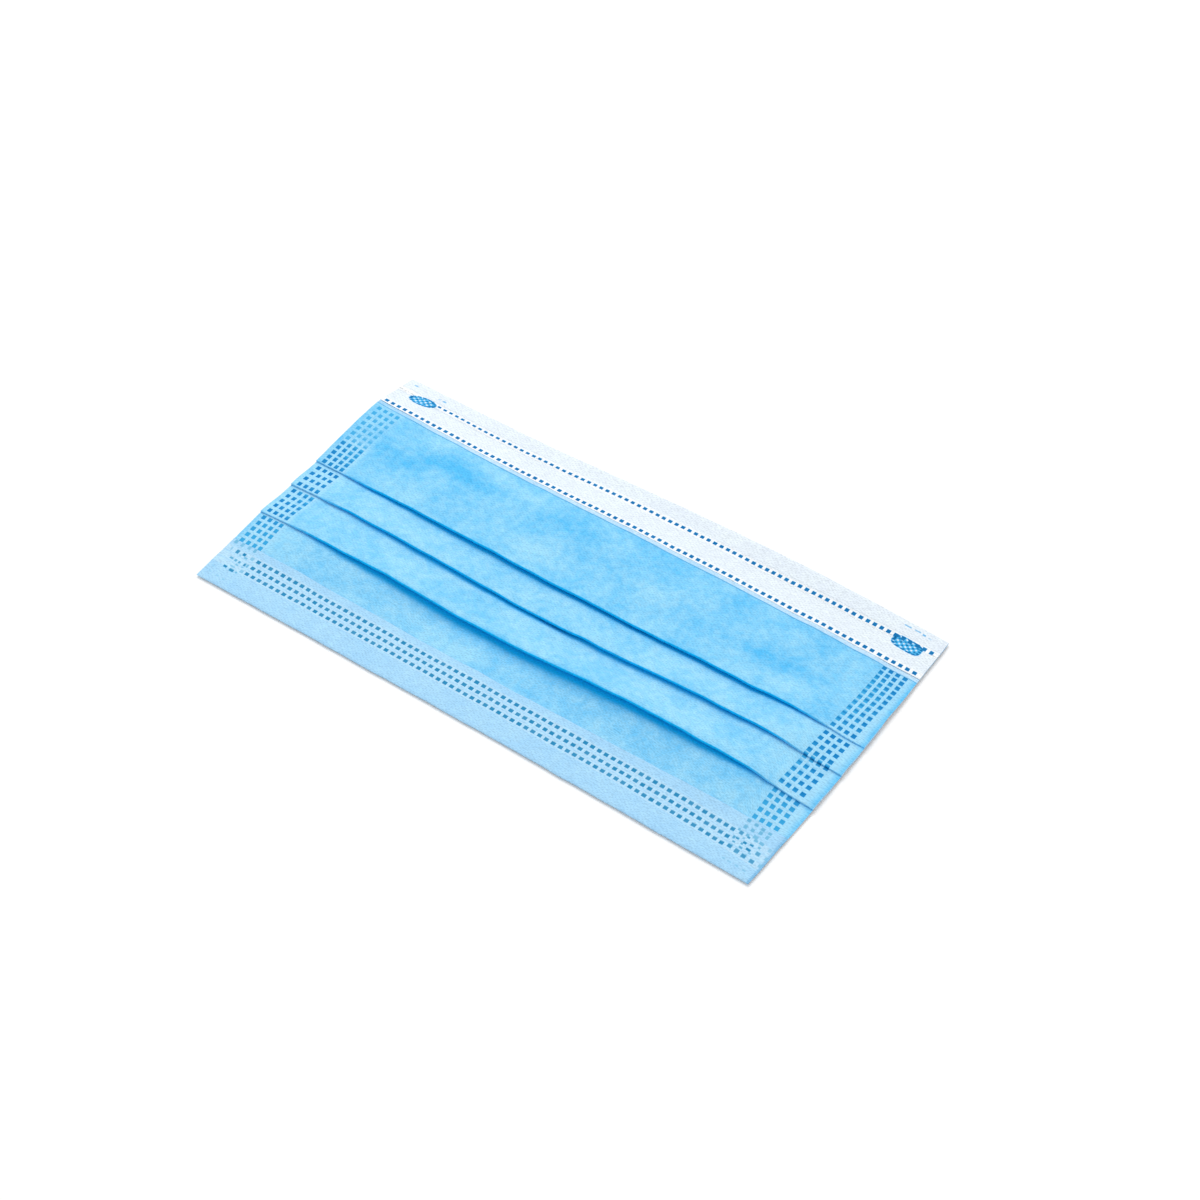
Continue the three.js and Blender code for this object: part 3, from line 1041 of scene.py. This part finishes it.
def oval_fields(side, down, across):
    """How deep an oval weld is pressed in its rim and staggered spots, and where its film shows."""
    middle_across, middle_down = oval_middle(side)
    half_along, half_over = OVALS[side]["half"]
    turn, power = radians(OVALS[side]["tilt"]), OVALS[side]["power"]
    dx = across - middle_across
    dy = down - middle_down
    along = dx * cos(turn) + dy * sin(turn)
    over = dy * cos(turn) - dx * sin(turn)
    reach = (np.abs(along / half_along) ** power + np.abs(over / half_over) ** power) ** (1 / power)
    inward = (1.0 - reach) * half_over
    inside = np.clip(inward / OVAL_SOFT, 0.0, 1.0)
    round_angle = np.arctan2(over / half_over, along / half_along)
    dashes = ease(np.cos(OVAL_DASHES * round_angle), OVAL_DASH)
    rim = inside * np.clip((OVAL_RIM + OVAL_SOFT - inward) / OVAL_SOFT, 0.0, 1.0) * dashes
    waffle = np.cos(2 * pi * along / OVAL_PITCH[0]) * np.cos(2 * pi * over / OVAL_PITCH[1])
    spots = inside * ease(waffle, OVAL_SPOT)
    streaks = ease(-waffle, OVAL_STREAK)
    return np.maximum(rim, OVAL_SPOT_SHARE * spots), inside * (1.0 - OVAL_STREAK_SHARE * streaks)


def fine_marks(marks, zones):
    """Marks with closely spaced ones added inside each zone."""
    extra = [np.arange(low, high, CORNER_FINE) for low, high in zones]
    merged = np.unique(np.concatenate([np.asarray(marks, float), *extra]).round(3))
    keep = np.concatenate([[True], np.diff(merged) > LEAST_ACROSS])
    keep[-1] = True
    return merged[keep]


def row_columns(pitch, start, end):
    """Evenly spaced weld columns between two places across."""
    count = int(round((end - start) / pitch)) + 1
    return np.linspace(start, end, count)


def turned_over(front, edge_down, inward, high_side, low_side):
    """Down and offset along a ply that turns over an edge: its front, a half turn, and a short back."""
    radius = (high_side - low_side) / 2
    centre = (high_side + low_side) / 2
    downs = [front]
    offsets = [np.full_like(front, high_side)]
    hub = np.full((1, front.shape[1]), edge_down + inward * radius)
    for step in range(1, TURN_STEPS):
        turn = pi / 2 - pi * step / TURN_STEPS
        downs.append(hub - inward * radius * cos(turn))
        offsets.append(np.full_like(hub, centre + radius * sin(turn)))
    for back in (radius, PLY_END):
        downs.append(np.full_like(hub, edge_down + inward * back))
        offsets.append(np.full_like(hub, low_side))
    return np.concatenate(downs), np.concatenate(offsets)


def single_marks(table):
    return [(place - EDGE, *rest) for place, *rest in table]


def row_halo(down, across, rows, bend=1):
    """1 along a row of welds, where the cloth is drawn tight and shines paler, and 0 away from it."""
    halo = np.zeros_like(down)
    share = np.clip(across / WIDTH + 0.5, 0.0, 1.0) ** bend
    for row in rows:
        middle = row[0] + (row[1] - row[0]) * share
        near = (HALO[1] - np.abs(down - middle)) / (HALO[1] - HALO[0])
        halo = np.maximum(halo, np.clip(near, 0.0, 1.0))
    return halo


def band_lines(rows):
    """Lines across the nose band from its cut edge to the nose edge, close together at rows and ovals."""
    lines = [np.array([[BAND_LEFT, BAND_RIGHT]])]
    for row, (_, halves) in zip(rows[::-1], BAND_ROW_HALVES[::-1]):
        lines.append(np.stack(edges(row, np.array(halves))[::-1]))
        lines.append(np.stack([row + HALO[0], row + HALO[1], row - HALO[0], row - HALO[1]]))
    for start, end in BAND_FINE_ZONES:
        lines.append(same(np.arange(start, end, -CORNER_FINE)))
    lines = np.concatenate(lines)
    lines = lines[np.argsort(-lines.mean(axis=1))]
    lines = lines[lines[:, 1] <= BAND_RIGHT]
    keep = np.concatenate([[True], -np.diff(lines.mean(axis=1)) > LEAST_STEP])
    return fill(lines[keep], LONGEST_DOWN)


def band_welds(rows, columns, upper_start):
    """The two rows of welds across the nose band. The upper one starts past the left oval weld."""
    welds = []
    for number, row in enumerate(rows):
        half_across, (left_half, right_half) = BAND_ROW_HALVES[number]
        for column in columns:
            if number == 0 and column < upper_start:
                continue
            share = column / WIDTH + 0.5
            half = (half_across, left_half + (right_half - left_half) * share)
            welds.append(weld(column, row[0] + (row[1] - row[0]) * share, half, 1.0))
    return welds


def build_nose_band():
    """The white ply over the nose edge, with its two rows of welds and the two oval ones."""
    columns = row_columns(ROW_PITCH, -EDGE + BAND_ROW_ENDS[0], EDGE - BAND_ROW_ENDS[1])
    marks = [-EDGE, EDGE]
    for column in columns:
        marks += edges(column, BAND_ROW_HALVES[0][0])
    middles = [oval_middle(side) for side in OVALS]
    zones = [(x - OVAL_ZONE, x + OVAL_ZONE) for x, _ in middles]
    across = fine_marks(np.sort(np.array(marks)), zones)
    rows = np.array(BAND_ROWS)
    middle_high = sum(BAND_PLY) / 2
    middle_low = sum(INNER_PLY) / 2
    lines = slanted(band_lines(rows), across)
    down, offset = turned_over(lines, 0.0, 1, middle_high, middle_low)
    height = panel_height(0, down, across) + ripple(down, across) + offset
    welds = band_welds(rows, columns, middles[0][0] + ROW_STARTS_PAST_OVAL)
    welds += single_marks(BAND_MARKS)
    front = (offset > middle_high - FRONT_SLACK).astype(float)
    field = pressed(down, across, welds)
    film = np.zeros_like(down)
    for side in OVALS:
        oval_press, oval_film = oval_fields(side, down, across)
        field = np.maximum(field, oval_press)
        film = np.maximum(film, oval_film)
    field *= front
    halo = row_halo(down, across, rows) * front
    half = (BAND_PLY[1] - BAND_PLY[0]) / 2
    high = half - (2 * half - PRESSED) * field
    fields = {"weld": field[::-1], "deep": (film * front)[::-1], "pale": halo[::-1], "tone": 0.0}
    material = nonwoven(
        "white_spunbond", WHITE, WHITE_DEEP, BAND_WELD, BAND_WELD_DARK, FILM, HALO_WHITE
    )
    band = build_ply(
        "nose_band_ply", across, down[::-1], height[::-1], -half, high[::-1], fields, material
    )
    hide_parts("nose_band")


def build_pale_strip():
    """The pale ply that shows as a narrow strip below the nose band."""
    across = fill([-EDGE, EDGE], STRIP_ACROSS)
    lines = [[STRIP_TUCK, STRIP_TUCK], [BAND_LEFT + STRIP_SHOWS, BAND_RIGHT + STRIP_SHOWS]]
    down = slanted(fill(lines, STRIP_DOWN), across)
    height = panel_height(0, down, across) + ripple(down, across)
    material = nonwoven("pale_strip_spunbond", STRIP_LIGHT, STRIP_DEEP, STRIP_CREASE_SHADE, STRIP_CREASE_SHADE)
    # Painted shadow with a crease at the strip's lower edge, laid on through its weld colour
    crease_shade = smooth((down - down[-1:] + STRIP_CREASE_SHADE_WIDTH) / STRIP_CREASE_SHADE_FADE)
    deeper = smooth((-across - STRIP_DEEPER_FROM) / STRIP_DEEPER_REACH)
    fields = {"weld": STRIP_CREASE_SHADE_SHARE * crease_shade, "tone": deeper}
    strip = build_ply("pale_strip", across, down, height, *STRIP_PLY, fields, material)


def build_chin_hem():
    """The pale ply turned up over the chin edge, with its three rows of welds."""
    columns = row_columns(HEM_PITCH, -EDGE + HEM_FROM, -EDGE + HEM_TO)
    marks = [-EDGE, EDGE]
    for column in columns:
        marks += edges(column, HEM_HALF[0])
    zones = [(start - EDGE, end - EDGE) for start, end in HEM_CORNERS]
    across = fine_marks(np.sort(np.array(marks)), zones)
    rows = np.array(HEM_ROWS)
    lines = [same([HEM_START])]
    for row in rows:
        lines.append(np.stack(edges(row, HEM_HALF[1])))
    lines.append(rows[-1:] + HALO[0])
    lines.append(rows[-1:] + HALO[1])
    lines.append(same([HEIGHT - 1.0]))
    lines = fill(np.concatenate(lines), HEM_FINE)
    middle_high = sum(HEM_PLY) / 2
    middle_low = sum(INNER_PLY) / 2
    down, offset = turned_over(slanted(lines, across, HEM_BEND), HEIGHT, -1, middle_high, middle_low)
    height = panel_height(LAST_PANEL, down, across) + ripple(down, across) + offset
    welds = []
    for row in rows:
        for column in columns:
            share = (column / WIDTH + 0.5) ** HEM_BEND
            welds.append(weld(column, row[0] + (row[1] - row[0]) * share, HEM_HALF, HEM_STRENGTH))
    welds += single_marks(HEM_MARKS_LEFT) + single_marks(HEM_MARKS_RIGHT)
    front = (offset > middle_high - FRONT_SLACK).astype(float)
    field = pressed(down, across, welds) * front
    half = (HEM_PLY[1] - HEM_PLY[0]) / 2
    high = half - (2 * half - PRESSED) * field
    halo = row_halo(down, across, rows, HEM_BEND) * front
    material = nonwoven(
        "pale_spunbond", HEM_LIGHT, HEM_DEEP, HEM_WELD, HEM_WELD_DARK, HEM_EDGE_SHADE, HEM_PALE
    )
    # The deep field paints shade along the hem's right cut edge
    fields = {"weld": field, "pale": halo, "tone": 0.0, "deep": CUT_SHADE_SHARE["hem"] * cut_edge_shade(across)}
    hem = build_ply("chin_hem_ply", across, down, height, -half, high, fields, material)
    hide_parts("chin_hem")


place_camera()
build_body_plies()
build_nose_band()
build_pale_strip()
build_chin_hem()
place_light()
place_floor()
